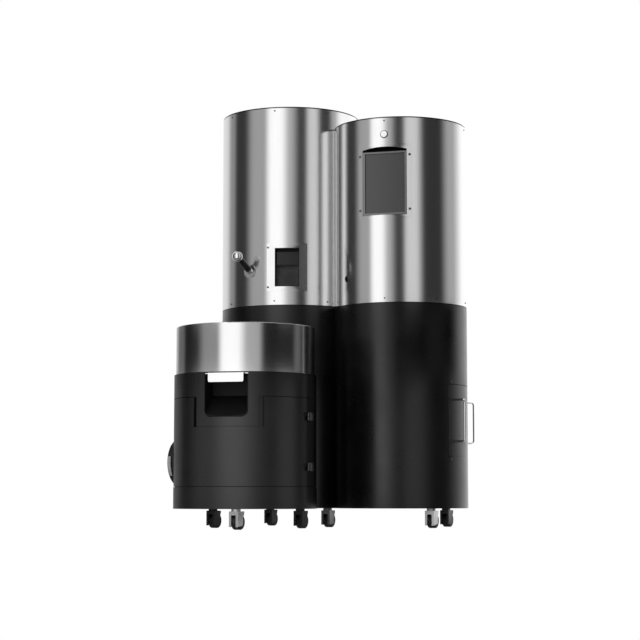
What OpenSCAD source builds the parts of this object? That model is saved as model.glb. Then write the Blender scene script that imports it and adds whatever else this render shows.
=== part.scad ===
// Floor-standing coffee roaster: a roast tower, a control tower and a bean cooler on casters.
// Millimetres. The front faces -Y and +Z is up. Angles are counted from the front, to the right.

/* [Towers] */
// Outer radius of the roast tower
roast_r = 275; // [272:1:285]
// Outer radius of the control tower
control_r = 259; // [255:1:265]
// How far the two round towers run into each other
tower_overlap = 56; // [48:1:60]
// Direction of the control tower, seen from the roast tower
control_angle = 79.4; // [76:0.2:82]
// Height of the black lower shell of the roast tower
roast_lower_h = 787; // [784:1:800]
// Height of the steel upper shell of the roast tower
roast_upper_h = 782; // [770:1:820]
// Height of the black lower shell of the control tower
control_lower_h = 778; // [770:1:784]
// Height of the steel upper shell of the control tower
control_upper_h = 713; // [706:1:730]
// Depth of the covers below the rims of the towers
cover_depth = 22; // [16:1:26]
// Direction that the first screw column of the roast tower faces
roast_face = 1.5; // [-2:0.5:3]
// Direction that the first screw column of the control tower faces
control_face = -2; // [-4:0.5:1]

/* [Cooler] */
// Outer radius of the black body of the cooler
cooler_r = 264; // [262:1:270]
// Free gap between the cooler and the roast tower
cooler_gap = 14; // [10:1:24]
// Direction of the cooler, seen from the roast tower
cooler_angle = -2.7; // [-6:0.1:2]
// Height of the black body of the cooler
cooler_lower_h = 491; // [480:1:496]
// Height of the steel ring of the cooler
cooler_ring_h = 178; // [150:1:200]
// Step from the black body in to the steel ring
ring_step = 7; // [5:1:9]
// Height of the base ring of the cooler
cooler_base_h = 81; // [76:1:84]
// Height of the collar above the service door
collar_h = 88; // [84:1:92]
// Half of the angle that the service door covers
door_half = 74.5; // [70:0.5:75]
// How far the service door stops short of the collar tongue, at its left edge
finger_left = 3; // [2:0.5:4]
// The same at the right edge, where a hand pulls the door
finger_right = 5; // [3:0.5:6]
// Half of the angle of the collar tongue round the chute mouth
tongue_half = 25.7; // [24:0.1:27]
// How far the tongue hangs below the collar
tongue_drop = 108; // [100:1:114]

/* [Chute and gate] */
// Width of the chute mouth
mouth_w = 157; // [140:1:164]
// Height of the chute mouth
mouth_h = 160; // [146:1:164]
// Corner radius of the chute mouth
mouth_corner = 22; // [12:1:30]
// Width of the pull lip of the bean gate
gate_w = 132; // [120:1:136]
// Height of the pull lip of the bean gate
gate_lip_h = 33; // [28:1:44]
// Dark gap over the gate's lip
gate_drop = 4.5; // [3:0.5:6]
// How far the bean gate pulls out
gate_travel = 80; // [60:1:84]

/* [Casters] */
// Height of a caster, from the floor to the plate that it bolts to
caster_h = 74; // [72:1:80]
// Radius of a caster wheel
wheel_r = 28; // [24:0.5:29]
// Width of a caster wheel
wheel_w = 29; // [18:0.5:32]
// How far the wheel trails behind its swivel
trail = 14; // [8:1:16]
// Distance of the casters from the edge of the body above
caster_inset = 45; // [42:1:60]
// Direction that the forks face while the machine stands
fork_heading = -13; // [-60:1:60]

/* [Sheet metal] */
// Thickness of the round shells
shell_wall = 3; // [2.5:0.1:3.4]
// Thickness of the base plates
base_t = 8; // [6:0.5:10]
// Open seam between shells
seam = 2; // [0.5:0.1:3]
// Clearance between fitted pieces
fit_gap = 0.3; // [0.2:0.05:0.5]
// Radius of a casing screw head
screw_r = 3.4; // [2.5:0.1:4]
// How far a casing screw head stands out
screw_proud = 1.4; // [1:0.1:2]

/* [Sight window] */
// Direction of the sight window
window_angle = 11.8; // [10:0.1:13]
// Height of the middle of the window above the seam of the roast tower
window_rise = 147; // [140:1:150]
// Width of the window opening
window_w = 95; // [84:1:98]
// Height of the window opening
window_h = 151; // [140:1:154]
// Depth of the window liner behind the front of the shell
window_depth = 56; // [50:1:60]
// Height of the discharge door in the lower half
discharge_h = 87; // [72:1:90]
// Furthest that the discharge door swings out
discharge_open = 70; // [50:1:80]

/* [Sampling spoon] */
// Direction of the sampling spoon
trier_angle = -20.5; // [-22:0.5:-17]
// Height of the sampling spoon above the seam of the roast tower, at the shell
trier_rise = 136; // [132:1:142]
// How steeply the spoon slopes up and out
trier_tilt = 31; // [24:0.5:32]
// Radius of the chrome ball
ball_r = 20.5; // [16:0.5:24]
// Radius of the black grip
grip_r = 13; // [9:0.5:13.5]
// Distance from the shell to the middle of the ball
ball_reach = 96; // [90:1:120]
// How far the spoon pulls out
trier_travel = 150; // [100:1:160]

/* [Display] */
// Direction of the display
display_angle = -2.4; // [-4:0.1:0]
// Height of the middle of the display above the seam of the control tower
display_rise = 460.5; // [450:1:466]
// Width of the display opening
display_w = 177; // [165:1:182]
// Height of the display opening
display_h = 253; // [245:1:262]
// Depth of the screen behind the front of the shell
display_depth = 24; // [21:0.5:28]
// Rise of the arched top of the display's opening
display_arch = 10; // [6:1:14]
// Width of the bright bezel round the screen
bezel_w = 8.5; // [6:0.5:10]
// Dark gap between the top of the opening and the bezel
bezel_drop = 6.7; // [4:0.1:9]
// Radius of the power button
button_r = 12; // [10:0.5:13]
// Height of the power button below the rim
button_drop = 68; // [64:1:72]
// Radius of the small side button
side_button_r = 9; // [7:0.5:10]
// Direction of the small side button
side_button_angle = -40.6; // [-44:0.2:-38]
// Height of the small side button above the seam of the control tower
side_button_rise = 99.5; // [90:0.5:110]
// How far the buttons travel
button_travel = 2.5; // [1.5:0.1:3]

/* [Chaff bin] */
// Direction of the chaff bin
bin_angle = 91.8; // [90:0.1:93]
// Half of the angle that its front covers
bin_half = 37; // [35:0.5:37.5]
// Height of the bin front above the bottom of the body
bin_rise = 195; // [185:1:205]
// Height of the bin front
bin_h = 276; // [260:1:280]
// Half of the angle between its two handles
handle_half = 26.6; // [24:0.1:28]
// Length of the handles
handle_h = 167; // [150:1:180]
// How far the handle grips stand off the front
handle_reach = 41; // [36:1:46]
// Radius of the handle bars
handle_bar_r = 4.3; // [3.5:0.1:5.5]
// How far the chaff bin slides out
bin_travel = 240; // [180:1:260]

/* [Hidden] */
$fn = 128;
// One overrun for every cut
over = 2;
// Radial play of a running shaft
run_gap = 0.05;
// Places of the towers and heights of their parts, worked out from the driving sizes
function polar_point(a, r) = [r * sin(a), -r * cos(a)];
body_z = caster_h;
roast_seam_z = body_z + roast_lower_h;
roast_top_z = roast_seam_z + roast_upper_h;
control_seam_z = body_z + control_lower_h;
control_top_z = control_seam_z + control_upper_h;
cooler_seam_z = body_z + cooler_lower_h;
cooler_top_z = cooler_seam_z + cooler_ring_h;
door_z0 = body_z + cooler_base_h;
door_z1 = cooler_seam_z - collar_h;
control_at = polar_point(control_angle, roast_r + control_r - tower_overlap);
cooler_at = polar_point(cooler_angle, roast_r + cooler_r + cooler_gap);
ring_lip = 1;
exhaust_angle = -101;
exhaust_sleeve_r = 88;
exhaust_proud = 17;
exhaust_rise = 172;
exhaust_end = cooler_r + exhaust_proud;
left_x = cooler_at[0] + exhaust_end * sin(exhaust_angle) + exhaust_sleeve_r * cos(exhaust_angle);
right_x = control_at[0] + (control_r + handle_reach) * sin(bin_angle - handle_half) + handle_bar_r;
front_y = cooler_at[1] - cooler_r - ring_lip;
back_y = roast_r;
centre_x = (left_x + right_x) / 2;
centre_y = (front_y + back_y) / 2;
steel = "#c9cbcd";
bright = "#e4e6e8";
black = "#1d1e20";
dark = "#35373a";
module at_roast() { translate([-centre_x, -centre_y, 0]) children(); }
module at_control() { at_roast() translate([control_at[0], control_at[1], 0]) children(); }
module at_cooler() { at_roast() translate([cooler_at[0], cooler_at[1], 0]) children(); }
// Turns a piece drawn at the front so that it faces another direction
module facing(a) { rotate([0, 0, a]) children(); }
// A box centred on its own middle
module block(w, d, h) { translate([-w / 2, -d / 2, -h / 2]) cube([w, d, h]); }
module tube(r, wall, h) {
    difference() {
        cylinder(r = r, h = h);
        translate([0, 0, -over]) cylinder(r = r - wall, h = h + 2 * over);
    }
}
// A wedge of a disc, from angle a0 to angle a1
module wedge(a0, a1, r, h) {
    n = ceil((a1 - a0) / 40);
    reach = r / cos((a1 - a0) / n / 2);
    rim = [for (i = [0:n]) polar_point(a0 + (a1 - a0) * i / n, reach)];
    linear_extrude(height = h) polygon(concat([[0, 0]], rim));
}
// A bent sheet: the part of a tube between two angles
module bent_sheet(a0, a1, r, wall, h) {
    intersection() {
        tube(r, wall, h);
        translate([0, 0, -over]) wedge(a0, a1, r + over, h + 2 * over);
    }
}
// A round bar between two points
module bar(p, q, r) {
    d = q - p;
    tilt = acos(d[2] / norm(d));
    turn = atan2(d[1], d[0]);
    translate(p) rotate([0, tilt, turn]) cylinder(r = r, h = norm(d));
}
// A cylinder that runs outward along -Y from a depth to a radius
module outward(from_r, to_r, r) {
    translate([0, -from_r, 0]) rotate([90, 0, 0]) cylinder(r = r, h = to_r - from_r);
}
module roast_cut(z, h) {
    translate([-control_at[0], -control_at[1], z]) cylinder(r = roast_r + fit_gap, h = h);
}

// Base plates that the casters bolt to
stem_r = 6;
module base_plate(r, plate_r, spots) {
    difference() {
        translate([0, 0, body_z]) cylinder(r = plate_r, h = base_t);
        for (a = spots)
            facing(a) translate([0, -(r - caster_inset), body_z - over])
                cylinder(r = stem_r + run_gap, h = base_t + 2 * over);
    }
}
roast_spots = [54, -144];
control_spots = [43, 136];
cooler_spots = [8, 126, -130];
inlet_hole_r = 14;
inlet_y_back = 200;
module tower_base() {
    color(dark) {
        at_roast() difference() {
            base_plate(roast_r, roast_r - shell_wall - fit_gap, roast_spots);
            translate([0, inlet_y_back, body_z - over]) cylinder(r = inlet_hole_r, h = base_t + 2 * over);
        }
        at_control() difference() {
            base_plate(control_r, control_r - shell_wall - fit_gap, control_spots);
            roast_cut(body_z - over, base_t + 2 * over);
        }
    }
}
base_ring_proud = 1;
module cooler_base() {
    color(black) at_cooler() {
        base_plate(cooler_r, cooler_r + base_ring_proud - shell_wall, cooler_spots);
        translate([0, 0, body_z]) tube(cooler_r + base_ring_proud, shell_wall, cooler_base_h - seam);
    }
}

// Round shells
screw_edge = 15;
module screw_row(r, face, z, count) {
    for (i = [0:count - 1])
        facing(face + i * 360 / 8) translate([0, 0, z]) outward(r + fit_gap / 6, r + screw_proud, screw_r);
}
vent_w = 120;
vent_h = 7;
vent_pitch = 20;
vent_rows = 10;
vent_z = body_z + 120;
module vent_slots(r, a) {
    for (i = [0:vent_rows - 1])
        facing(a) translate([0, -r, vent_z + i * vent_pitch]) block(vent_w, r / 4, vent_h);
}
module roast_lower_shell() {
    color(black) at_roast() difference() {
        translate([0, 0, body_z]) tube(roast_r, shell_wall, roast_lower_h - seam);
        vent_slots(roast_r, 180);
    }
}
cover_t = 3;
ledge_w = 14;
module cover_ledge(r, z) {
    translate([0, 0, z - cover_depth - 2 * cover_t]) tube(r - shell_wall / 2, ledge_w, cover_t);
}
pipe_r = 45;
pipe_y = 37;
pipe_z = roast_seam_z + 440;
trier_hole_r = 21;
module roast_upper_shell() {
    color(steel) at_roast() difference() {
        union() {
            translate([0, 0, roast_seam_z]) tube(roast_r, shell_wall, roast_upper_h);
            cover_ledge(roast_r, roast_top_z);
        }
        facing(window_angle) translate([0, -roast_r, roast_seam_z + window_rise])
            block(window_w, roast_r / 4, window_h);
        facing(trier_angle) translate([0, 0, roast_seam_z + trier_rise])
            outward(roast_r - 2 * trier_hole_r, roast_r + over, trier_hole_r);
        translate([0, pipe_y, pipe_z]) rotate([0, 90, 0]) cylinder(r = pipe_r + fit_gap, h = roast_r + over);
    }
}
hopper_at = [0, -130];
hopper_mouth_r = 95;
hopper_wall = 2;
module roast_top_cover() {
    color(steel) at_roast() {
        difference() {
            translate([0, 0, roast_top_z - cover_depth - cover_t])
                cylinder(r = roast_r - shell_wall - fit_gap, h = cover_t);
            translate([hopper_at[0], hopper_at[1], roast_top_z - cover_depth - cover_t - over])
                cylinder(r = hopper_mouth_r + fit_gap, h = cover_t + 2 * over);
        }
        for (s = [-1, 1]) translate([s * (lid_barrel / 2 + fit_gap + ear_w / 2), lid_axis[1], lid_axis[2] - lid_hinge_r / 2 - fit_gap])
            block(ear_w, 2 * lid_hinge_r, 3 * lid_hinge_r);
        translate(lid_axis - [lid_barrel / 2 + ear_w / 2, 0, 0]) rotate([0, 90, 0]) cylinder(r = lid_pin_r, h = lid_barrel + ear_w);
    }
}
bin_z = body_z + bin_rise;
spigot_r = 60;
spigot_z = control_seam_z + 610;
shelf_t = 3;
drop_r = 46;
cyclone_y = 45;
module control_lower_shell() {
    color(black) at_control() difference() {
        union() {
            translate([0, 0, body_z]) tube(control_r, shell_wall, control_lower_h - seam);
            translate([0, 0, bin_z - shelf_t]) cylinder(r = control_r - shell_wall / 2, h = shelf_t);
            translate([0, 0, bin_z + bin_h]) cylinder(r = control_r - shell_wall / 2, h = shelf_t);
        }
        roast_cut(body_z - over, control_lower_h + 2 * over);
        translate([0, 0, bin_z]) wedge(bin_angle - bin_half, bin_angle + bin_half, control_r + over, bin_h);
        translate([0, cyclone_y, bin_z + bin_h - over]) cylinder(r = drop_r + fit_gap, h = shelf_t + 2 * over);
        vent_slots(control_r, 165);
    }
}
arch_r = (pow(display_w / 2, 2) + pow(display_arch, 2)) / (2 * display_arch);
module display_opening(inset) {
    translate([0, -control_r, control_seam_z + display_rise]) {
        block(display_w - 2 * inset, control_r / 2, display_h - 2 * inset);
        intersection() {
            translate([0, 0, display_arch / 2]) block(display_w - 2 * inset, control_r / 2, display_h + display_arch);
            translate([0, control_r / 4, display_h / 2 + display_arch - arch_r]) rotate([90, 0, 0])
                cylinder(r = arch_r - inset, h = control_r / 2);
        }
    }
}
module control_upper_shell() {
    color(steel) at_control() difference() {
        union() {
            translate([0, 0, control_seam_z]) tube(control_r, shell_wall, control_upper_h);
            cover_ledge(control_r, control_top_z);
        }
        roast_cut(control_seam_z - over, control_upper_h + 2 * over);
        facing(display_angle) display_opening(0);
        facing(control_face) translate([0, 0, control_top_z - button_drop])
            outward(control_r - 5 * shell_wall, control_r + over, button_r + ring_w + fit_gap);
        facing(side_button_angle) translate([0, 0, control_seam_z + side_button_rise])
            outward(control_r - 5 * shell_wall, control_r + over, side_button_r + ring_w + fit_gap);
        translate([0, 0, spigot_z]) rotate([-90, 0, 0]) cylinder(r = spigot_r + fit_gap, h = control_r + over);
        translate([-control_at[0] / 4, pipe_y - control_at[1], pipe_z]) rotate([0, -90, 0])
            cylinder(r = pipe_r + fit_gap, h = control_r);
    }
}
module control_top_cover() {
    color(steel) at_control() difference() {
        translate([0, 0, control_top_z - cover_depth - cover_t])
            cylinder(r = control_r - shell_wall - fit_gap, h = cover_t);
        roast_cut(control_top_z - cover_depth - cover_t - over, cover_t + 2 * over);
    }
}
link_w = 80;
link_h = 60;
link_z = cooler_seam_z - collar_h - link_h;
module link_bracket() {
    color(dark) at_roast() difference() {
        facing(cooler_angle) translate([0, -roast_r - cooler_gap / 2, link_z])
            block(link_w, 2 * cooler_gap, link_h);
        translate([0, 0, link_z - link_h]) cylinder(r = roast_r + fit_gap / 2, h = 2 * link_h);
        translate([cooler_at[0], cooler_at[1], link_z - link_h]) cylinder(r = cooler_r + fit_gap / 2, h = 2 * link_h);
    }
}
window_screw_w = 75;
window_screw_h = 78;
display_screw_w = 99;
display_screw_h = 105;
bin_screw_half = bin_half - 4;
bin_screw_out = 10;
module corner_screws(r, a, z, w, h) {
    for (sx = [-1, 1], sz = [-1, 1])
        facing(a + sx * asin(w / r)) translate([0, 0, z + sz * h])
            outward(r + fit_gap / 6, r + screw_proud, screw_r);
}
module casing_screws() {
    color(bright) {
        at_roast() {
            screw_row(roast_r, roast_face, roast_seam_z + screw_edge, 2);
            screw_row(roast_r, roast_face + 135, roast_seam_z + screw_edge, 5);
            screw_row(roast_r, roast_face, roast_top_z - screw_edge, 8);
            corner_screws(roast_r, window_angle, roast_seam_z + window_rise, window_screw_w, window_screw_h);
        }
        at_control() {
            screw_row(control_r, control_face, control_seam_z + screw_edge, 5);
            screw_row(control_r, control_face, control_top_z - screw_edge, 5);
            corner_screws(control_r, display_angle, control_seam_z + display_rise, display_screw_w, display_screw_h);
            corner_screws(control_r, bin_angle, bin_z + bin_h / 2, control_r * sin(bin_screw_half),
                          bin_h / 2 + bin_screw_out);
        }
    }
}

// Sight window with the discharge door below it
liner_t = 2;
pane_t = 4;
bar_h = 6;
window_z = roast_seam_z + window_rise;
window_low = window_z - window_h / 2;
pane_y = window_depth - 2 * pane_t;
hinge_r = 2.5;
door_depth = window_depth - 16;
split_z = window_low + discharge_h;
module window_frame() {
    color(steel) at_roast() facing(window_angle) difference() {
        intersection() {
            translate([0, -roast_r + window_depth / 2, window_z])
                block(window_w - 2 * fit_gap, window_depth, window_h - 2 * fit_gap);
            cylinder(r = roast_r, h = roast_top_z);
        }
        difference() {
            translate([0, -roast_r + window_depth / 2, window_z])
                block(window_w - 2 * liner_t, window_depth + 2 * over, window_h - 2 * liner_t);
            translate([0, -roast_r + pane_y, split_z]) block(window_w, 3 * hinge_r, bar_h);
        }
    }
}
glass_low = split_z - fit_gap;
glass_high = window_low + window_h - liner_t - fit_gap;
module sight_glass() {
    color(dark, 0.8) at_roast() facing(window_angle)
        translate([0, -roast_r + pane_y + 2 * hinge_r + pane_t / 2, (glass_low + glass_high) / 2])
            block(window_w - 2 * liner_t - 2 * fit_gap, pane_t, glass_high - glass_low);
}
door_w = window_w - 2 * liner_t - 2 * fit_gap;
door_h = discharge_h - liner_t - bar_h / 2 - hinge_r - 3 * fit_gap;
frame_w = 9;
hinge_z = split_z - bar_h / 2 - hinge_r - fit_gap;
module discharge_door() {
    color(dark) at_roast() facing(window_angle) translate([0, -roast_r + door_depth, hinge_z]) {
        rotate([0, 90, 0]) translate([0, 0, -door_w / 2]) cylinder(r = hinge_r, h = door_w);
        translate([0, 0, -door_h / 2]) block(door_w, pane_t / 2, door_h);
        difference() {
            translate([0, -pane_t / 2, -door_h / 2 - hinge_r / 2]) block(door_w, pane_t, door_h - hinge_r);
            translate([frame_w / 4, -pane_t / 2, -door_h / 2 - hinge_r]) block(door_w - 2 * frame_w, pane_t + over, door_h - frame_w);
        }
    }
}

// Sampling spoon: collar in the shell, turning sleeve, sliding spoon
trier_z = roast_seam_z + trier_rise;
sleeve_wall = 3;
collar_flange_r = 27;
spoon_l = 150;
spoon_r = grip_r - sleeve_wall;
module along_trier() {
    at_roast() facing(trier_angle) translate([0, -roast_r, trier_z]) rotate([90 - trier_tilt, 0, 0]) children();
}
sleeve_in = 24;
sleeve_out = 12;
module trier_collar() {
    color(steel) difference() {
        at_roast() facing(trier_angle) translate([0, 0, trier_z]) {
            outward(roast_r - 3 * shell_wall, roast_r + shell_wall, trier_hole_r - fit_gap);
            outward(roast_r + fit_gap, roast_r + shell_wall, collar_flange_r);
        }
        along_trier() translate([0, 0, -roast_r / 2]) cylinder(r = spoon_r + sleeve_wall / 2 + run_gap, h = roast_r);
    }
}
module trier_sleeve() {
    color(bright) along_trier() difference() {
        translate([0, 0, -sleeve_in]) cylinder(r = spoon_r + sleeve_wall / 2, h = sleeve_in + sleeve_out);
        translate([0, 0, -sleeve_in - over]) cylinder(r = spoon_r + run_gap, h = sleeve_in + sleeve_out + 2 * over);
    }
}
ball_wall_share = 0.92;
module trier_spoon() {
    color(bright) along_trier() {
        difference() {
            translate([0, 0, -spoon_l]) cylinder(r = spoon_r, h = spoon_l + sleeve_out + fit_gap);
            translate([0, 0, -spoon_l + sleeve_wall]) cylinder(r = spoon_r - sleeve_wall / 2, h = spoon_l - sleeve_in - 3 * over);
            translate([0, spoon_r, -spoon_l / 2 - sleeve_in / 2]) block(2 * spoon_r, 2 * spoon_r, spoon_l - sleeve_in - 4 * over);
        }
        translate([0, 0, sleeve_out + fit_gap]) cylinder(r = grip_r, h = ball_reach - sleeve_out - ball_r * ball_wall_share);
        translate([0, 0, ball_reach]) sphere(r = ball_r);
    }
}

// Display and buttons
display_z = control_seam_z + display_rise;
screen_margin = 6;
display_box_h = display_h + screen_margin;
display_mid = display_z + screen_margin / 2;
box_depth = 40;
bezel_back = control_r - sqrt(pow(control_r, 2) - pow(display_w / 2, 2));
bezel_low = display_z - display_h / 2 + liner_t / 2;
bezel_high = display_z + display_h / 2 - bezel_drop;
bezel_mid = (bezel_low + bezel_high) / 2;
bezel_h = bezel_high - bezel_low;
module display_frame() {
    color(steel) at_control() facing(display_angle) {
        difference() {
            intersection() {
                translate([0, -control_r + display_depth / 2, display_mid])
                    block(display_w - 2 * fit_gap, display_depth, display_box_h - 2 * fit_gap);
                union() {
                    cylinder(r = control_r - shell_wall - fit_gap, h = control_top_z);
                    intersection() {
                        display_opening(fit_gap);
                        cylinder(r = control_r, h = control_top_z);
                    }
                }
            }
            translate([0, -control_r + display_depth / 2, display_mid])
                block(display_w - 2 * liner_t, display_depth + 2 * over, display_box_h - 2 * liner_t);
        }
        translate([0, -control_r + display_depth + box_depth / 2, display_mid]) block(display_w, box_depth, display_box_h);
        translate([0, -control_r + (bezel_back + display_depth) / 2, bezel_mid]) difference() {
            block(display_w - 2 * liner_t + over / 2, display_depth - bezel_back + over / 2, bezel_h);
            translate([0, 0, bezel_w / 8]) block(display_w - 2 * liner_t - 2 * bezel_w, display_depth, bezel_h - 1.75 * bezel_w);
        }
    }
}
module display_screen() {
    color("#3a3c3f") at_control() facing(display_angle)
        translate([0, -control_r + display_depth - pane_t / 2, bezel_mid + bezel_w / 8])
            block(display_w - 2 * liner_t - 2 * bezel_w - 2 * fit_gap, pane_t - fit_gap,
                  bezel_h - 1.75 * bezel_w - 2 * fit_gap);
}
ring_w = 3;
ring_proud = 2.5;
button_depth = 12;
module button_ring(a, z, r) {
    facing(a) translate([0, 0, z]) difference() {
        outward(control_r - button_depth, control_r + ring_proud, r + ring_w);
        outward(control_r - button_depth + shell_wall, control_r + ring_proud + over, r + fit_gap);
    }
}
module button_rings() {
    color(bright) at_control() {
        button_ring(control_face, control_top_z - button_drop, button_r);
        button_ring(side_button_angle, control_seam_z + side_button_rise, side_button_r);
    }
}
button_proud = 5;
module button_cap(a, z, r) {
    color(bright) at_control() facing(a) translate([0, 0, z])
        outward(control_r - button_depth + shell_wall + button_travel + fit_gap, control_r + button_proud, r);
}
module power_button() { button_cap(control_face, control_top_z - button_drop, button_r); }
module side_button() { button_cap(side_button_angle, control_seam_z + side_button_rise, side_button_r); }

// Roasting drum in its housing
drum_z = roast_seam_z + 199;
drum_r = 175;
drum_l = 322;
housing_r = 197;
housing_l = 356;
plate_t = 6;
shaft_r = 14;
vane_h = 45;
vane_count = 6;
module along_drum() { at_roast() translate([0, 0, drum_z]) rotate([-90, 0, 0]) children(); }
feed_r = 26;
feed_port_up = 155;
module drum_housing() {
    color(steel) difference() {
        along_drum() translate([0, 0, -housing_l / 2]) {
            tube(housing_r, shell_wall, housing_l);
            difference() {
                translate([0, 0, housing_l - plate_t]) cylinder(r = housing_r - shell_wall / 2, h = plate_t);
                translate([0, 0, housing_l - plate_t - over]) cylinder(r = shaft_r + run_gap, h = plate_t + 2 * over);
            }
        }
        at_roast() translate([0, 0, drum_z - housing_r - over]) cylinder(r = neck_r - shell_wall, h = housing_r / 2);
        at_roast() translate([0, pipe_y, drum_z + housing_r / 2]) cylinder(r = pipe_r - shell_wall, h = housing_r);
    }
}
front_plate_r = 192;
module drum_front_plate() {
    color(steel) difference() {
        along_drum() translate([0, 0, -housing_l / 2 - plate_t]) cylinder(r = front_plate_r, h = plate_t);
        at_roast() facing(window_angle) translate([0, -roast_r + window_depth, window_z])
            block(window_w - 3 * liner_t, roast_r / 2, window_h - 3 * liner_t);
        along_trier() translate([0, 0, -roast_r]) cylinder(r = spoon_r + 2 * sleeve_wall, h = roast_r);
        at_roast() translate([0, -housing_l / 2 - plate_t - over, drum_z + feed_port_up]) rotate([-90, 0, 0])
            cylinder(r = feed_r - liner_t, h = plate_t + 2 * over);
    }
}
module roasting_drum() {
    color("#6b6d70") along_drum() {
        translate([0, 0, -drum_l / 2]) tube(drum_r, shell_wall, drum_l);
        difference() {
            translate([0, 0, drum_l / 2 - plate_t]) cylinder(r = drum_r - shell_wall / 2, h = plate_t);
            for (i = [0:11]) rotate([0, 0, 30 * i]) translate([drum_r * 2 / 3, 0, drum_l / 2 - plate_t - over])
                cylinder(r = drum_r / 8, h = plate_t + 2 * over);
        }
        translate([0, 0, drum_l / 2 - 2 * plate_t]) cylinder(r = shaft_r, h = 2 * plate_t + (housing_l - drum_l) / 2 + 5 * plate_t);
        for (i = [0:vane_count - 1]) rotate([0, 0, i * 360 / vane_count])
            translate([drum_r - shell_wall / 2 - vane_h / 2, 0, 0]) rotate([20, 0, 0]) block(vane_h, shell_wall, drum_l * 0.8);
    }
}
motor_r = 48;
module drum_gearmotor() {
    color(dark) along_drum() translate([0, 0, housing_l / 2 + fit_gap]) difference() {
        cylinder(r = motor_r, h = roast_r - shell_wall - housing_l / 2 - 2 * plate_t);
        translate([0, 0, -over]) cylinder(r = shaft_r + run_gap, h = 6 * plate_t + over);
    }
}
post_x = 190;
post_y = 120;
post_w = 25;
frame_shelf_z = body_z + 480;
neck_r = 70;
saddle_z = drum_z - housing_r - base_t;
saddle_h = 70;
module roast_frame() {
    color(dark) at_roast() difference() {
        union() {
            for (sx = [-1, 1], sy = [-1, 1]) translate([sx * (post_x), sy * post_y, (body_z + base_t + saddle_z + saddle_h) / 2])
                block(post_w, post_w, saddle_z + saddle_h - body_z - base_t);
            translate([0, 0, frame_shelf_z]) block(2 * post_x, 2 * post_y, plate_t);
            for (sy = [-1, 1]) translate([0, sy * post_y, saddle_z + saddle_h / 2]) block(2 * post_x, plate_t, saddle_h);
        }
        translate([0, roast_r, drum_z]) rotate([90, 0, 0]) cylinder(r = housing_r + fit_gap / 2, h = 2 * roast_r);
        translate([0, 0, frame_shelf_z]) block(volute_grow - 2 * liner_t, volute_d - 2 * liner_t, 2 * plate_t);
    }
}

// Blowers: a spiral housing with a bladed wheel and a motor
volute_r = 75;
volute_grow = 70;
volute_d = 110;
eye_r = 52;
wheel_gap = 6;
fan_motor_r = 55;
motor_shaft_r = 6;
// Points of a spiral that widens by the growth over one turn
function spiral(r, grow, from) = [for (i = [from:36]) (r + grow * i / 36) * [cos(10 * i), sin(10 * i)]];
tongue = spiral(volute_r, volute_grow, 2)[0];
// Drawn with its shaft on Z and its outlet along +Y
module volute(reach, motor_l) {
    difference() {
        linear_extrude(height = volute_d)
            polygon(concat(spiral(volute_r, volute_grow, 2), [[volute_r + volute_grow, reach], [tongue[0], reach]]));
        translate([0, 0, liner_t]) linear_extrude(height = volute_d - 2 * liner_t) {
            polygon(spiral(volute_r - liner_t, volute_grow, 0));
            translate([tongue[0] + 2 * liner_t, -over])
                square([volute_r + volute_grow - 3 * liner_t - tongue[0], reach + 2 * over]);
        }
        translate([0, 0, volute_d - liner_t - over]) cylinder(r = eye_r, h = liner_t + 2 * over);
        translate([0, 0, -over]) cylinder(r = motor_shaft_r + over, h = liner_t + 2 * over);
    }
    translate([0, 0, -motor_l]) difference() {
        cylinder(r = fan_motor_r, h = motor_l);
        translate([0, 0, motor_l / 2]) cylinder(r = motor_shaft_r + run_gap, h = motor_l);
    }
}
blade_count = 12;
module blower_wheel(motor_l) {
    wheel_r0 = volute_r - liner_t - wheel_gap;
    wheel_h = volute_d - 2 * liner_t - 2 * wheel_gap;
    translate([0, 0, liner_t + wheel_gap]) {
        cylinder(r = wheel_r0, h = liner_t);
        translate([0, 0, wheel_h - liner_t]) tube(wheel_r0, wheel_r0 - eye_r, liner_t);
        for (i = [0:blade_count - 1]) rotate([0, 0, i * 360 / blade_count])
            translate([(wheel_r0 + eye_r) / 2 - liner_t, 0, wheel_h / 2]) rotate([0, 0, 30])
                block(wheel_r0 - eye_r, liner_t, wheel_h - liner_t);
    }
    translate([0, 0, -motor_l / 2 + fit_gap]) cylinder(r = motor_shaft_r, h = motor_l / 2 + liner_t + 2 * wheel_gap);
}
roast_blower_at = [-volute_r - volute_grow / 2, volute_d / 2, body_z + 190];
roast_motor_l = 110;
blower_reach = frame_shelf_z - plate_t / 2 - roast_blower_at[2];
foot_w = 40;
module roast_blower() {
    color(dark) at_roast() {
        translate(roast_blower_at) rotate([90, 0, 0]) volute(blower_reach, roast_motor_l);
        translate([roast_blower_at[0] - foot_w / 2, -volute_d / 2, body_z + base_t])
            cube([foot_w, volute_d, roast_blower_at[2] - body_z - base_t - volute_r - volute_grow * 3 / 4 + liner_t / 2]);
    }
}
module roast_blower_wheel() {
    color(bright) at_roast() translate(roast_blower_at) rotate([90, 0, 0]) blower_wheel(roast_motor_l);
}
heater_r = 130;
heater_h = 230;
heater_z = frame_shelf_z + plate_t / 2;
module heater_box() {
    color("#8d9093") at_roast() {
        difference() {
            union() {
                translate([0, 0, heater_z]) cylinder(r = heater_r, h = heater_h);
                translate([0, 0, heater_z]) cylinder(r = neck_r, h = drum_z - housing_r - heater_z + base_t);
            }
            translate([0, 0, heater_z + liner_t]) cylinder(r = heater_r - liner_t, h = heater_h - 2 * liner_t);
            translate([0, 0, heater_z + heater_h - over - liner_t]) cylinder(r = neck_r - liner_t, h = heater_h);
            translate([0, 0, heater_z]) block(volute_grow - 2 * liner_t, volute_d - 2 * liner_t, 2 * plate_t);
            translate([0, roast_r, drum_z]) rotate([90, 0, 0]) cylinder(r = housing_r + fit_gap / 2, h = 2 * roast_r);
        }
    }
}

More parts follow.
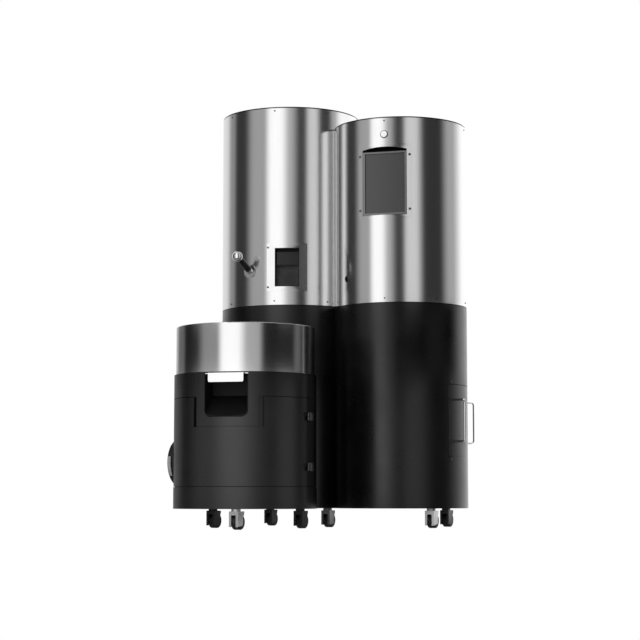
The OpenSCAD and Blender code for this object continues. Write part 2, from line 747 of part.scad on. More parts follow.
// Bean hopper and its lid
hopper_h = 120;
hopper_z = roast_top_z - cover_depth;
lid_t = 8;
hopper_tip = [0, hopper_at[1], hopper_z - hopper_h];
elbow_at = [0, -housing_l / 2 - feed_r - 2 * plate_t, drum_z + housing_r + feed_r];
port_at = [0, -housing_l / 2 - plate_t - fit_gap, drum_z + feed_port_up];
module hopper_solid(r, tip_r, pipe, grow) {
    translate([hopper_at[0], hopper_at[1], hopper_z - hopper_h]) cylinder(r1 = tip_r, r2 = r, h = hopper_h + grow);
    bar(elbow_at, hopper_tip, pipe);
    translate(hopper_tip) sphere(r = pipe + hopper_wall / 4);
    translate(elbow_at) sphere(r = pipe + hopper_wall / 4);
    bar(port_at, elbow_at, pipe);
}
module bean_hopper() {
    color(steel) at_roast() difference() {
        hopper_solid(hopper_mouth_r, feed_r + 2 * hopper_wall, feed_r, 0);
        hopper_solid(hopper_mouth_r - hopper_wall, feed_r - hopper_wall / 2, feed_r - hopper_wall, over);
        translate([0, -housing_l / 2 - plate_t - fit_gap / 2, port_at[2]]) translate([0, roast_r / 2, 0])
            block(roast_r, roast_r, 4 * feed_r);
    }
}
lid_hinge_r = 3.5;
lid_pin_r = 2;
lid_axis = [0, hopper_at[1] + hopper_mouth_r + 4 * shell_wall, hopper_z + fit_gap + lid_hinge_r + fit_gap];
lid_barrel = hopper_mouth_r;
ear_w = 8;
module hopper_lid() {
    color(steel) at_roast() difference() {
        union() {
            translate([hopper_at[0], hopper_at[1], hopper_z + fit_gap]) {
                cylinder(r = hopper_mouth_r + 2 * shell_wall, h = cover_t);
                translate([0, 0, cover_t]) cylinder(r1 = hopper_mouth_r - cover_t, r2 = hopper_mouth_r - lid_t, h = cover_t);
                translate([0, -hopper_mouth_r / 2, cover_t]) cylinder(r = lid_t, h = cover_t + lid_t);
            }
            translate(lid_axis - [lid_barrel / 2, 0, 0]) rotate([0, 90, 0]) cylinder(r = lid_hinge_r, h = lid_barrel);
            translate([-lid_barrel / 2, lid_axis[1] - 4 * shell_wall, hopper_z + fit_gap]) cube([lid_barrel, 4 * shell_wall, cover_t]);
        }
        translate(lid_axis - [lid_barrel, 0, 0]) rotate([0, 90, 0]) cylinder(r = lid_pin_r + run_gap, h = 2 * lid_barrel);
    }
}

// Chaff cyclone with its inlet pipe and rear spigot
cyclone_r = 115;
cyclone_low = bin_z + bin_h + 220;
cyclone_high = control_seam_z + 540;
spigot_proud = 50;
spigot_step = 1;
inlet_y = control_at[1];
module cyclone_solid(cut) {
    t = cut ? liner_t : 0;
    grow = cut ? over : 0;
    translate([control_at[0], control_at[1] + cyclone_y, 0]) {
        translate([0, 0, cyclone_low + t]) cylinder(r = cyclone_r - t, h = cyclone_high - cyclone_low - 2 * t);
        translate([0, 0, bin_z + bin_h + 2 * drop_r]) cylinder(r1 = drop_r - t, r2 = cyclone_r - t, h = cyclone_low - bin_z - bin_h - 2 * drop_r);
        translate([0, 0, bin_z + bin_h - grow]) cylinder(r = drop_r - t, h = 2 * drop_r + 2 * grow);
        translate([0, 0, cyclone_high - 2 * t]) cylinder(r = spigot_r - spigot_step - t, h = spigot_z - cyclone_high + 2 * t);
        translate([0, 0, spigot_z]) sphere(r = spigot_r - spigot_step - t);
        translate([0, 0, spigot_z]) rotate([-90, 0, 0]) cylinder(r = spigot_r - spigot_step - t, h = control_r + spigot_proud - cyclone_y + grow);
        if (!cut) translate([0, control_r - cyclone_y + spigot_step, spigot_z]) rotate([-90, 0, 0]) cylinder(r = spigot_r, h = spigot_proud - spigot_step);
    }
    translate([0, pipe_y, pipe_z]) {
        sphere(r = pipe_r - t);
        rotate([0, 90, 0]) cylinder(r = pipe_r - t, h = control_at[0] - cyclone_r / 4);
        translate([0, 0, -(pipe_z - drum_z)]) cylinder(r = pipe_r - t, h = pipe_z - drum_z);
    }
}
module chaff_cyclone() {
    color("#8d9093") at_roast() difference() {
        cyclone_solid(false);
        cyclone_solid(true);
        translate([0, roast_r, drum_z]) rotate([90, 0, 0]) cylinder(r = housing_r + fit_gap / 2, h = 2 * roast_r);
    }
}

// Chaff bin that slides out of the control tower
bin_half_w = 138;
bin_back = 105;
bin_foot = 0.3;
bin_head = 26;
bin_wall = 2;
module bin_outline(w, back, r) {
    intersection() {
        translate([-w, -r - over, 0]) square([2 * w, r + over + back]);
        circle(r = r);
    }
}
module chaff_bin() {
    color(black) at_control() {
        translate([0, 0, bin_z + seam])
            bent_sheet(bin_angle - bin_half + 0.3, bin_angle + bin_half - 0.3, control_r, shell_wall, bin_h - 2 * seam);
        facing(bin_angle) translate([0, 0, bin_z + bin_foot]) difference() {
            linear_extrude(height = bin_h - bin_head) bin_outline(bin_half_w, bin_back, control_r - shell_wall / 2);
            translate([0, 0, bin_wall]) linear_extrude(height = bin_h)
                bin_outline(bin_half_w - bin_wall, bin_back - bin_wall, control_r - shell_wall - bin_wall);
        }
    }
}
handle_mid = bin_z + 138;
module bin_handles() {
    grip = control_r + handle_reach;
    color(dark) at_control() for (s = [-1, 1]) facing(bin_angle + s * handle_half) difference() {
        translate([0, 0, handle_mid]) {
            for (e = [-1, 1]) translate([0, 0, e * (handle_h / 2 - handle_bar_r)]) {
                outward(control_r - shell_wall, grip, handle_bar_r);
                translate([0, -grip, 0]) sphere(r = handle_bar_r);
            }
            translate([0, -grip, -handle_h / 2 + handle_bar_r]) cylinder(r = handle_bar_r, h = handle_h - 2 * handle_bar_r);
        }
        translate([0, 0, bin_z]) cylinder(r = control_r + fit_gap / 3, h = bin_h);
    }
}

// Cooler: rear shell, service door, collar with tongue, ring, tray
cooler_face = 0.5;
pin_r = 3;
knuckle_r = 6;
knuckle_h = 29;
knuckle_out = cooler_r + knuckle_r + fit_gap;
knuckle_rise = [71, 253];
leaf_w = 20;
leaf_t = 2;
door_edge_gap = 1.5;
right_edge = cooler_face + door_half;
module knuckle(low) {
    facing(right_edge) for (z = knuckle_rise) translate([0, -knuckle_out, door_z0 + z - knuckle_h / 2 + low])
        children();
}
module rear_knuckle_part() {
    cylinder(r = knuckle_r, h = knuckle_h / 2);
    cylinder(r = pin_r, h = knuckle_h);
    translate([0, knuckle_r - leaf_t, 0]) cube([leaf_w, leaf_t, knuckle_h / 2]);
}
module door_knuckle_part() {
    difference() {
        union() {
            cylinder(r = knuckle_r, h = knuckle_h / 2 - fit_gap);
            translate([-leaf_w, knuckle_r - leaf_t, 0]) cube([leaf_w, leaf_t, knuckle_h / 2 - fit_gap]);
        }
        translate([0, 0, -over]) cylinder(r = pin_r + run_gap, h = knuckle_h);
    }
}
module door_span(a0, a1, z0, z1) {
    translate([0, 0, z0]) bent_sheet(a0, a1, cooler_r, shell_wall, z1 - z0);
}
edge_angle = door_edge_gap / cooler_r * 180 / PI;
exhaust_z = body_z + exhaust_rise;
module cooler_rear_shell() {
    color(black) at_cooler() {
        difference() {
            door_span(right_edge, 360 + cooler_face - door_half, door_z0, door_z1 - seam);
            facing(exhaust_angle) translate([0, 0, exhaust_z])
                outward(cooler_r - 6 * shell_wall - exhaust_proud, cooler_r + over, exhaust_sleeve_r + fit_gap);
        }
        knuckle(0) rear_knuckle_part();
        facing(right_edge) for (z = knuckle_rise) translate([0, -cooler_r - fit_gap, door_z0 + z - knuckle_h / 2])
            cube([leaf_w, fit_gap + leaf_t / 2, knuckle_h / 2]);
    }
}
tongue_z = door_z1 - tongue_drop;
rebate = 8;
module cooler_door() {
    color(black) at_cooler() {
        difference() {
            door_span(cooler_face - door_half + edge_angle, right_edge - edge_angle, door_z0, door_z1 - seam);
            translate([0, 0, tongue_z - seam])
                wedge(cooler_face - tongue_half - finger_left, cooler_face + tongue_half + finger_right, cooler_r + over, tongue_drop + seam + over);
        }
        knuckle(knuckle_h / 2 + fit_gap) door_knuckle_part();
        facing(right_edge) for (z = knuckle_rise) translate([-leaf_w, -cooler_r - fit_gap, door_z0 + z + fit_gap])
            cube([leaf_w - 3 * door_edge_gap, fit_gap + leaf_t / 2 + shell_wall / 2, knuckle_h / 2 - fit_gap]);
    }
}
mouth_z = cooler_seam_z - mouth_h;
module mouth_outline(grow) {
    r = mouth_corner + grow;
    w = mouth_w / 2 + grow;
    translate([-w, r - grow]) square([2 * w, mouth_h + over - r + grow]);
    translate([-w + r, -grow]) square([2 * (w - r), mouth_h]);
    for (s = [-1, 1]) translate([s * (w - r), r - grow]) circle(r = r);
}
// The mouth outline pushed in from the front, down to a depth
module mouth_prism(grow, depth, front) {
    facing(cooler_face) translate([0, -cooler_r - front, mouth_z]) rotate([90, 0, 0])
        translate([0, 0, -depth - front]) linear_extrude(height = depth + front) mouth_outline(grow);
}
flange_t = 3;
flange_w = 18;
skirt_h = 14;
module cooler_collar() {
    color(black) at_cooler() difference() {
        union() {
            translate([0, 0, door_z1]) tube(cooler_r, shell_wall, collar_h);
            translate([0, 0, cooler_seam_z - flange_t]) tube(cooler_r - shell_wall / 2, flange_w, flange_t);
            translate([0, 0, tongue_z]) bent_sheet(cooler_face - tongue_half, cooler_face + tongue_half, cooler_r, rebate + shell_wall, tongue_drop + over);
            translate([0, 0, tongue_z - rebate])
                bent_sheet(cooler_face - tongue_half - finger_left - 2, cooler_face + tongue_half + finger_right + 2,
                           cooler_r - rebate, shell_wall, tongue_drop + rebate + shell_wall);
            translate([0, 0, door_z1]) tube(cooler_r - shell_wall / 2, rebate + shell_wall / 2, shell_wall);
            translate([0, 0, door_z1 - skirt_h])
                bent_sheet(right_edge + 3, 357 + cooler_face - door_half,
                           cooler_r - shell_wall - fit_gap, shell_wall, skirt_h + shell_wall / 2);
        }
        mouth_prism(chute_t + fit_gap, chute_depth, over);
    }
}
chute_t = 3;
chute_depth = 110;
chute_slope = 36;
gate_t = 3;
module above_slope(drop) {
    facing(cooler_face) translate([0, -cooler_r, mouth_z - drop]) rotate([chute_slope, 0, 0])
        translate([-mouth_w, -chute_depth, 0]) cube([2 * mouth_w, 4 * chute_depth, 3 * mouth_h]);
}
module cooling_chute() {
    color(dark) at_cooler() intersection() {
        difference() {
            mouth_prism(chute_t, chute_depth, 0);
            intersection() {
                mouth_prism(0, chute_depth - chute_t, over);
                above_slope(0);
            }
        }
        above_slope(2 * chute_t);
        translate([0, 0, mouth_z - mouth_h]) cylinder(r = cooler_r + ring_lip, h = 2 * mouth_h - gate_t - 2 * fit_gap - gate_drop);
    }
}
gate_l = 95;
gate_inset = 3.5;
module cooling_gate() {
    color(bright) at_cooler() facing(cooler_face) translate([0, -cooler_r + gate_inset, cooler_seam_z - fit_gap - gate_drop]) {
        translate([-gate_w / 2 + gate_t, 0, -gate_t]) cube([gate_w - 2 * gate_t, gate_l, gate_t]);
        translate([-(mouth_w + chute_t) / 2, 5 * gate_t, -gate_t])
            cube([mouth_w + chute_t, gate_l - 5 * gate_t, gate_t]);
        rotate([90, 0, 0]) translate([0, 0, -gate_t]) linear_extrude(height = gate_t) {
            translate([-gate_w / 2, -gate_lip_h + 2 * gate_t]) square([gate_w, gate_lip_h - 2 * gate_t]);
            translate([-gate_w / 2 + 2 * gate_t, -gate_lip_h]) square([gate_w - 4 * gate_t, gate_lip_h]);
            for (s = [-1, 1]) translate([s * (gate_w / 2 - 2 * gate_t), -gate_lip_h + 2 * gate_t]) circle(r = 2 * gate_t);
        }
    }
}
ring_r = cooler_r - ring_step;
bead_r = 3;
module cooler_ring() {
    color(steel) at_cooler() {
        translate([0, 0, cooler_seam_z]) tube(ring_r, shell_wall, cooler_ring_h - bead_r);
        translate([0, 0, cooler_top_z - bead_r]) rotate_extrude() translate([ring_r - bead_r, 0]) circle(r = bead_r);
    }
}
tray_t = 3;
tray_r = ring_r - shell_wall - fit_gap;
tray_hole_r = 3.5;
hole_rings = 6;
outlet_w = 110;
outlet_l = 60;
agitator_r = 10;
module cooling_tray() {
    pitch = (tray_r - 12 * tray_hole_r) / hole_rings;
    color(steel) at_cooler() difference() {
        translate([0, 0, cooler_seam_z]) cylinder(r = tray_r, h = tray_t);
        translate([0, 0, cooler_seam_z - over]) cylinder(r = agitator_r + run_gap, h = tray_t + 2 * over);
        facing(cooler_face) translate([0, -cooler_r + gate_l - outlet_l / 2 - 2 * gate_t, cooler_seam_z]) block(outlet_w, outlet_l, 4 * tray_t);
        for (k = [2:hole_rings + 1], i = [0:6 * k - 1]) {
            a = 360 * i / (6 * k);
            if (k < hole_rings - 1 || abs(a > 180 ? a - 360 : a) > 25)
                facing(a) translate([0, -(k - 1) * pitch - 6 * tray_hole_r, cooler_seam_z - over])
                    cylinder(r = tray_hole_r, h = tray_t + 2 * over);
        }
    }
}
hub_r = 24;
hub_h = 60;
arm_r = 6;
arm_l = tray_r - 8;
arm_up = 32;
paddle_h = 26;
tray_top = cooler_seam_z + tray_t;
stirrer_drop = 70;
module stirrer() {
    color(bright) at_cooler() {
        translate([0, 0, tray_top + fit_gap]) cylinder(r = hub_r, h = hub_h);
        translate([0, 0, tray_top + fit_gap + hub_h]) cylinder(r1 = hub_r, r2 = hub_r / 2, h = hub_r / 2);
        translate([0, 0, tray_top - stirrer_drop]) cylinder(r = agitator_r, h = stirrer_drop + hub_h);
        for (i = [0:3]) rotate([0, 0, 45 + 90 * i]) {
            translate([0, 0, tray_top + arm_up]) rotate([90, 0, 0]) cylinder(r = arm_r, h = arm_l);
            translate([0, -arm_l * 0.62, tray_top + fit_gap + over + paddle_h / 2]) rotate([0, 0, 25]) block(gate_t, arm_l * 0.62, paddle_h);
        }
    }
}
stirrer_motor_h = 95;
cross_w = 40;
cross_t = 5;
module stirrer_motor() {
    top = cooler_seam_z - flange_t;
    color(dark) at_cooler() difference() {
        union() {
            translate([0, 0, top - stirrer_motor_h]) cylinder(r = motor_r, h = stirrer_motor_h);
            intersection() {
                translate([0, 0, top - cross_t / 2]) block(2 * cooler_r, cross_w, cross_t);
                translate([0, 0, top - stirrer_motor_h]) cylinder(r = cooler_r - 2 * shell_wall, h = stirrer_motor_h);
            }
        }
        translate([0, 0, tray_top - stirrer_drop - fit_gap]) cylinder(r = agitator_r + run_gap, h = stirrer_drop);
    }
}
fan_motor_l = exhaust_z - volute_d / 2 - body_z - base_t;
outlet_r = 81;
outlet_start = cooler_r - 22;
module at_fan() {
    at_cooler() facing(exhaust_angle) translate([-volute_r - volute_grow / 2, 0, exhaust_z - volute_d / 2])
        mirror([1, 0, 0]) rotate([0, 0, 180]) children();
}
module cooling_fan() {
    color("#a4a7aa") at_fan() volute(outlet_start, fan_motor_l);
}
module cooling_fan_wheel() { color(bright) at_fan() blower_wheel(fan_motor_l); }
slot_w = 13;
slot_h = 68;
module exhaust_collar() {
    color(black) at_cooler() facing(exhaust_angle) translate([0, 0, exhaust_z]) difference() {
        outward(outlet_start + fit_gap, exhaust_end, exhaust_sleeve_r);
        outward(outlet_start + liner_t, exhaust_end, outlet_r - liner_t);
        outward(cooler_r + ring_lip, exhaust_end + over, outlet_r);
        translate([0, -outlet_start, 0]) block(volute_grow - 2 * liner_t, 4 * liner_t, volute_d - 2 * liner_t);
        for (i = [0:3]) translate([0, -cooler_r - slot_w / 6, 0]) rotate([0, 90 * i, 0])
            translate([exhaust_sleeve_r, 0, 0]) block(3 * shell_wall, slot_w, slot_h);
    }
}

// Casters: a swivelling fork and a wheel on its axle
head_r = 17;
head_t = 8;
plate_gap = 1;
fork_t = 3;
fork_l = 42;
arch_low = 10;
arch_leg = 9;
arch_bar = 14;
axle_r = 4;
fork_top = caster_h - fit_gap - head_t;
fork_shares = [[-0.6, 1], [0.5, 1], [0.5, 0.88], [0.3, 0.6], [0.3, 0.3], [0.2, 0.22], [-0.45, 0.18], [-0.6, 0.18]];
module at_caster(i) {
    if (i <= 2) at_roast() facing(roast_spots[i - 1]) translate([0, -(roast_r - caster_inset), 0]) facing(fork_heading - roast_spots[i - 1]) children();
    if (i > 2 && i <= 4) at_control() facing(control_spots[i - 3]) translate([0, -(control_r - caster_inset), 0]) facing(fork_heading - control_spots[i - 3]) children();
    if (i > 4) at_cooler() facing(cooler_spots[i - 5]) translate([0, -(cooler_r - caster_inset), 0]) facing(fork_heading - cooler_spots[i - 5]) children();
}
module caster_fork(i) {
    half = wheel_w / 2 + plate_gap;
    color("#9a9da0") at_caster(i) {
        translate([0, 0, fork_top]) cylinder(r = head_r, h = head_t);
        translate([0, 0, fork_top]) cylinder(r = stem_r, h = head_t + fit_gap + base_t - over);
        for (s = [-1, 1]) translate([s * (half + fork_t / 2) - fork_t / 2, trail / 2, 0]) rotate([90, 0, 90])
            linear_extrude(height = fork_t) polygon([for (p = fork_shares) [p[0] * fork_l, p[1] * fork_top]]);
        translate([0, trail / 2 - fork_l / 20, fork_top - fork_t / 2]) block(2 * half + fork_t, fork_l * 1.1, fork_t);
        translate([0, trail / 2 - fork_l * 0.6 + fork_t / 2, 0]) difference() {
            translate([0, 0, (fork_top + arch_low) / 2]) block(2 * half + 2 * fork_t, fork_t, fork_top - arch_low);
            translate([0, 0, (fork_top - arch_bar) / 2]) block(2 * half + 2 * fork_t - 2 * arch_leg, 2 * fork_t, fork_top - arch_bar);
        }
        translate([-half - fork_t, trail, wheel_r]) rotate([0, 90, 0]) cylinder(r = axle_r, h = 2 * half + 2 * fork_t);
    }
}
tyre_round = 4;
module caster_wheel(i) {
    color("#2a2b2d") at_caster(i) translate([0, trail, wheel_r]) rotate([0, 90, 0]) rotate_extrude() difference() {
        union() {
            translate([0, -wheel_w / 2 + tyre_round]) square([wheel_r, wheel_w - 2 * tyre_round]);
            translate([0, -wheel_w / 2]) square([wheel_r - tyre_round, wheel_w]);
            for (s = [-1, 1]) translate([wheel_r - tyre_round, s * (wheel_w / 2 - tyre_round)]) circle(r = tyre_round);
        }
        translate([-over, -wheel_w]) square([axle_r + run_gap + over, 2 * wheel_w]);
    }
}

tower_base();
cooler_base();
roast_lower_shell();
roast_upper_shell();
roast_top_cover();
control_lower_shell();
control_upper_shell();
control_top_cover();
link_bracket();
casing_screws();
window_frame();
sight_glass();
discharge_door();
trier_collar();
trier_sleeve();
trier_spoon();
display_frame();
display_screen();
button_rings();
power_button();
side_button();
roast_frame();
roast_blower();
roast_blower_wheel();
heater_box();
drum_housing();
drum_front_plate();
roasting_drum();
drum_gearmotor();
bean_hopper();
hopper_lid();
chaff_cyclone();
chaff_bin();
bin_handles();
cooler_rear_shell();
cooler_door();
cooler_collar();
cooler_ring();
cooling_tray();
cooling_chute();
cooling_gate();
stirrer();
stirrer_motor();
cooling_fan();
cooling_fan_wheel();
exhaust_collar();
caster_fork(1);  // caster_fork_1
caster_fork(2);  // caster_fork_2
caster_fork(3);  // caster_fork_3
caster_fork(4);  // caster_fork_4
caster_fork(5);  // caster_fork_5
caster_fork(6);  // caster_fork_6
caster_fork(7);  // caster_fork_7
caster_wheel(1);  // caster_wheel_1
caster_wheel(2);  // caster_wheel_2
caster_wheel(3);  // caster_wheel_3
caster_wheel(4);  // caster_wheel_4
caster_wheel(5);  // caster_wheel_5
caster_wheel(6);  // caster_wheel_6
caster_wheel(7);  // caster_wheel_7
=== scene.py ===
"""Looks of the coffee roaster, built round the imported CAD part. Lengths are in metres."""
import math

import bpy
import numpy as np
from mathutils import Matrix, Vector


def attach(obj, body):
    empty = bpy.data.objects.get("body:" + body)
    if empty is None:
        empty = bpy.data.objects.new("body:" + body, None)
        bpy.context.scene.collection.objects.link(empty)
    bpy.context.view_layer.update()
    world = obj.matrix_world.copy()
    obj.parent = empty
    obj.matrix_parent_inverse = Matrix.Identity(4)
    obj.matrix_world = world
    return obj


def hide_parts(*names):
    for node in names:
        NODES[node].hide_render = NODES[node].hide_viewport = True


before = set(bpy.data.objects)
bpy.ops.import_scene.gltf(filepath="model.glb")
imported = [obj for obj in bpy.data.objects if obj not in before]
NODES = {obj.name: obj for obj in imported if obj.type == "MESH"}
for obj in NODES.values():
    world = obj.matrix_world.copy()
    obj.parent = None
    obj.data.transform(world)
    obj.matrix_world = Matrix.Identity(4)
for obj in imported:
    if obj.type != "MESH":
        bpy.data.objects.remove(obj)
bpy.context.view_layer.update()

# Camera, found by fitting the towers' rims and seams
HEADING = math.radians(14.0)
PITCH = math.radians(5.785)
CAMERA_AT = (1.6069, -6.5424, 0.114)
LENS_MM = 98.72
SENSOR_MM = 36.0
VIEW_DEPTH = 100

# Studio wall: a lighting plan of soft boxes in three bands of height. Each box is (from, to, width
# of its soft edges, brightness), in degrees to the right of the camera as seen from the wall's centre.
WALL_AT = (-0.6, 0.0)
WALL_R = 1.3
WALL_TOP = 3.2
WALL_SIDES = 120
BOXES_HIGH = (
    (-200, -134, 18, 0.9), (-134, -110, 10, 0.3), (-68, -28, 24, 0.42), (-25, 11, 16, 1.4),
    (11, 28, 16, 0.5), (46, 62, 8, 0.8), (78, 87, 6, 0.45), (87, 124, 8, 1.3), (120, 200, 30, 0.6),
)
BOXES_MID = (
    (-200, -139, 20, 0.6), (-139, -101, 12, 0.15), (-50, -18, 20, 0.3), (-16, 11, 9, 1.4),
    (11, 29, 6, 0.5), (66, 77, 8, 0.15), (85, 126, 8, 1.3), (126, 200, 20, 0.3),
)
BOXES_LOW = (
    (-200, -105, 16, 0.3), (-62, 32, 44, 0.6), (-16, 17, 26, 1.0), (44, 65, 14, 0.6),
    (84, 128, 14, 1.2), (140, 200, 20, 0.2),
)
DIM_HIGH, DIM_MID, DIM_LOW = 0.04, 0.01, 0.08
# Where one band goes over into the next, and how the borders rise with the azimuth
BORDER_MID = (0.565, 0.60)
BORDER_HIGH = (0.835, 0.865)
LEVEL_AT = 37.0
LIFT = 0.0005

FLOOR_HALF = 30
KEY_AT = (-0.9, -0.8, 2.9)
KEY_AIM = (-0.1, 0, 0.8)
KEY_SIDE = 0.9
KEY_WATTS = 8

# The machine's own places, from part.scad
CENTRE = (0.213899, -0.271193)
ROAST_AT = np.array([-CENTRE[0], -CENTRE[1]])
CONTROL_AT = np.array([0.469843 - CENTRE[0], -0.087929 - CENTRE[1]])
COOLER_AT = np.array([-0.026050 - CENTRE[0], -0.552386 - CENTRE[1]])
ROAST_R, CONTROL_R, COOLER_R = 0.275, 0.259, 0.264
ROAST_SEAM, CONTROL_SEAM = 0.861, 0.852
ROAST_TOP, CONTROL_TOP = 1.643, 1.565
DISPLAY_Z = CONTROL_SEAM + 0.4605
DISPLAY_TURN = -2.4
WINDOW_Z = ROAST_SEAM + 0.147
WINDOW_TURN = 11.8
BODY_Z = 0.155

# Depth of the painted shade below a tower's rim, and the bezel's level above which its recess is painted dark as
# shade
RIM_SHADE_DEPTH = 0.0045
BEZEL_TOP = DISPLAY_Z + 0.1198

CREASE = math.radians(35)
COVER_T = 0.0011
OFF_SKIN = 0.0001


class Tree:
    """A node tree with short calls for making and joining nodes."""

    def __init__(self, tree):
        self.tree = tree
        self.count = 0

    def add(self, kind, props=None, **inputs):
        """Makes a node; inputs are named by socket, or i0, i1 and so on by place."""
        node = self.tree.nodes.new(kind)
        node.location = (self.count * 180, 0)
        self.count += 1
        for key, value in (props or {}).items():
            setattr(node, key, value)
        for key, value in inputs.items():
            self.set(node, key.replace("_", " "), value)
        return node

    def set(self, node, key, value):
        """Links a socket to an input, or sets the input's value."""
        by_place = key[0] == "i" and key[1:].isdigit()
        socket = node.inputs[int(key[1:])] if by_place else node.inputs[key]
        if isinstance(value, bpy.types.NodeSocket):
            self.tree.links.new(value, socket)
        else:
            socket.default_value = value

    def math(self, operation, a, b=0.0, c=0.0):
        node = self.add("ShaderNodeMath", {"operation": operation}, i0=a, i1=b, i2=c)
        return node.outputs[0]

    def ramp(self, fac, low, high):
        """Greys or values from low at 0.3 to high at 0.7, where most of a noise lies."""
        node = self.add("ShaderNodeValToRGB", i0=fac)
        for item, place, value in zip(node.color_ramp.elements, (0.3, 0.7), (low, high)):
            item.position = place
            item.color = grey(value)
        return node.outputs[0]

    def ease(self, value, start, end, low, high):
        """Goes from low to high on a smooth S as the value goes from start to end."""
        node = self.add("ShaderNodeMapRange", {"interpolation_type": "SMOOTHSTEP"},
                        i0=value, i1=start, i2=end, i3=low, i4=high)
        return node.outputs[0]

    def boxes(self, turn, plan, dim):
        """The dim wall plus each soft box, which rises over one soft edge and falls over the other."""
        total = dim
        for start, end, edge, level in plan:
            rise = self.ease(turn, start - edge / 2, start + edge / 2, 0.0, level)
            fall = self.ease(turn, end - edge / 2, end + edge / 2, 1.0, 0.0)
            total = self.math("MULTIPLY_ADD", rise, fall, total)
        return total

    def mix(self, fac, a, b):
        node = self.add("ShaderNodeMix", {"data_type": "RGBA", "clamp_result": False}, i0=fac, i6=a, i7=b)
        return node.outputs[2]

    def place(self):
        """Where on the object the shaded point is."""
        return self.add("ShaderNodeTexCoord").outputs["Object"]

    def noise(self, scale):
        return self.add("ShaderNodeTexNoise", Vector=self.place(), Scale=scale, Detail=2.0).outputs[0]


def grey(v):
    return (v, v, v, 1)


def link(obj):
    bpy.context.scene.collection.objects.link(obj)
    return obj


def empty_material(name):
    mat = bpy.data.materials.new(name)
    mat.use_nodes = True
    mat.node_tree.nodes.clear()
    return mat, Tree(mat.node_tree)


def make_camera():
    """Looks along (-sin HEADING, cos HEADING), turned up by PITCH."""
    data = bpy.data.cameras.new("camera")
    data.lens = LENS_MM
    data.sensor_width = SENSOR_MM
    data.clip_end = VIEW_DEPTH
    cam = link(bpy.data.objects.new("camera", data))
    cam.matrix_world = (
        Matrix.Translation(CAMERA_AT)
        @ Matrix.Rotation(HEADING, 4, "Z")
        @ Matrix.Rotation(math.pi / 2 + PITCH, 4, "X")
    )
    bpy.context.scene.camera = cam
    bpy.context.scene.view_settings.view_transform = "Standard"


def make_world():
    """White to the camera, soft grey to everything else."""
    world = bpy.data.worlds.new("studio")
    bpy.context.scene.world = world
    world.use_nodes = True
    world.node_tree.nodes.clear()
    t = Tree(world.node_tree)
    plain = t.add("ShaderNodeBackground", Color=grey(0.6), Strength=1.0)
    white = t.add("ShaderNodeBackground", Color=grey(1.0), Strength=1.0)
    path = t.add("ShaderNodeLightPath")
    both = t.add("ShaderNodeMixShader", i0=path.outputs["Is Camera Ray"], i1=plain.outputs[0], i2=white.outputs[0])
    t.add("ShaderNodeOutputWorld", Surface=both.outputs[0])


def make_wall():
    """A round wall of soft boxes and dark screens that the steel mirrors, unseen by the camera.

    Brightness follows azimuth = atan2(right, near) of the point from the wall's centre, where
    right = x cos H + y sin H and near = x sin H - y cos H, and mixes three plans of soft boxes by
    height. The bands' borders rise by LIFT for each degree away from the azimuth LEVEL_AT, as the
    mirrored seams of the machine do.
    """
    ring = circle(WALL_SIDES) * WALL_R + WALL_AT
    points = np.concatenate([np.c_[ring, np.full(WALL_SIDES, z)] for z in (0.0, WALL_TOP)])
    a = np.arange(WALL_SIDES)
    b = (a + 1) % WALL_SIDES
    mesh = bpy.data.meshes.new("studio_wall")
    mesh.from_pydata(points.tolist(), [], np.stack([b, a, a + WALL_SIDES, b + WALL_SIDES], 1).tolist())
    wall = link(bpy.data.objects.new("studio_wall", mesh))
    wall.visible_camera = False
    mat, t = empty_material("studio_wall")
    split = t.add("ShaderNodeSeparateXYZ", Vector=t.place())
    x = t.math("SUBTRACT", split.outputs[0], WALL_AT[0])
    y = t.math("SUBTRACT", split.outputs[1], WALL_AT[1])
    c, s = math.cos(HEADING), math.sin(HEADING)
    right = t.math("ADD", t.math("MULTIPLY", x, c), t.math("MULTIPLY", y, s))
    near = t.math("SUBTRACT", t.math("MULTIPLY", x, s), t.math("MULTIPLY", y, c))
    turn = t.math("MULTIPLY", t.math("ARCTAN2", right, near), math.degrees(1))
    low = t.boxes(turn, BOXES_LOW, DIM_LOW)
    mid = t.boxes(turn, BOXES_MID, DIM_MID)
    high = t.boxes(turn, BOXES_HIGH, DIM_HIGH)
    lift = t.math("MULTIPLY", t.math("ABSOLUTE", t.math("SUBTRACT", turn, LEVEL_AT)), LIFT)
    level = t.math("SUBTRACT", split.outputs[2], lift)
    over_body = t.ease(level, *BORDER_MID, 0.0, 1.0)
    over_ring = t.ease(level, *BORDER_HIGH, 0.0, 1.0)
    color = t.mix(over_ring, t.mix(over_body, low, mid), high)
    glow = t.add("ShaderNodeEmission", Color=color, Strength=1.0)
    t.add("ShaderNodeOutputMaterial", Surface=glow.outputs[0])
    mesh.materials.append(mat)


def make_floor():
    """A floor that is pure white to the camera, dim in the mirrors and plain pale to the lamps."""
    h = FLOOR_HALF
    mesh = bpy.data.meshes.new("floor")
    mesh.from_pydata([(-h, -h, 0), (h, -h, 0), (h, h, 0), (-h, h, 0)], [], [(0, 1, 2, 3)])
    floor = link(bpy.data.objects.new("floor", mesh))
    mat, t = empty_material("floor")
    path = t.add("ShaderNodeLightPath")
    flat = t.add("ShaderNodeEmission", Color=grey(1.0), Strength=1.0)
    dark = t.add("ShaderNodeEmission", Color=grey(0.22), Strength=1.0)
    solid = t.add("ShaderNodeBsdfDiffuse", Color=grey(0.8))
    one = t.add("ShaderNodeMixShader", i0=path.outputs["Is Glossy Ray"], i1=solid.outputs[0], i2=dark.outputs[0])
    two = t.add("ShaderNodeMixShader", i0=path.outputs["Is Camera Ray"], i1=one.outputs[0], i2=flat.outputs[0])
    t.add("ShaderNodeOutputMaterial", Surface=two.outputs[0])
    mesh.materials.append(mat)


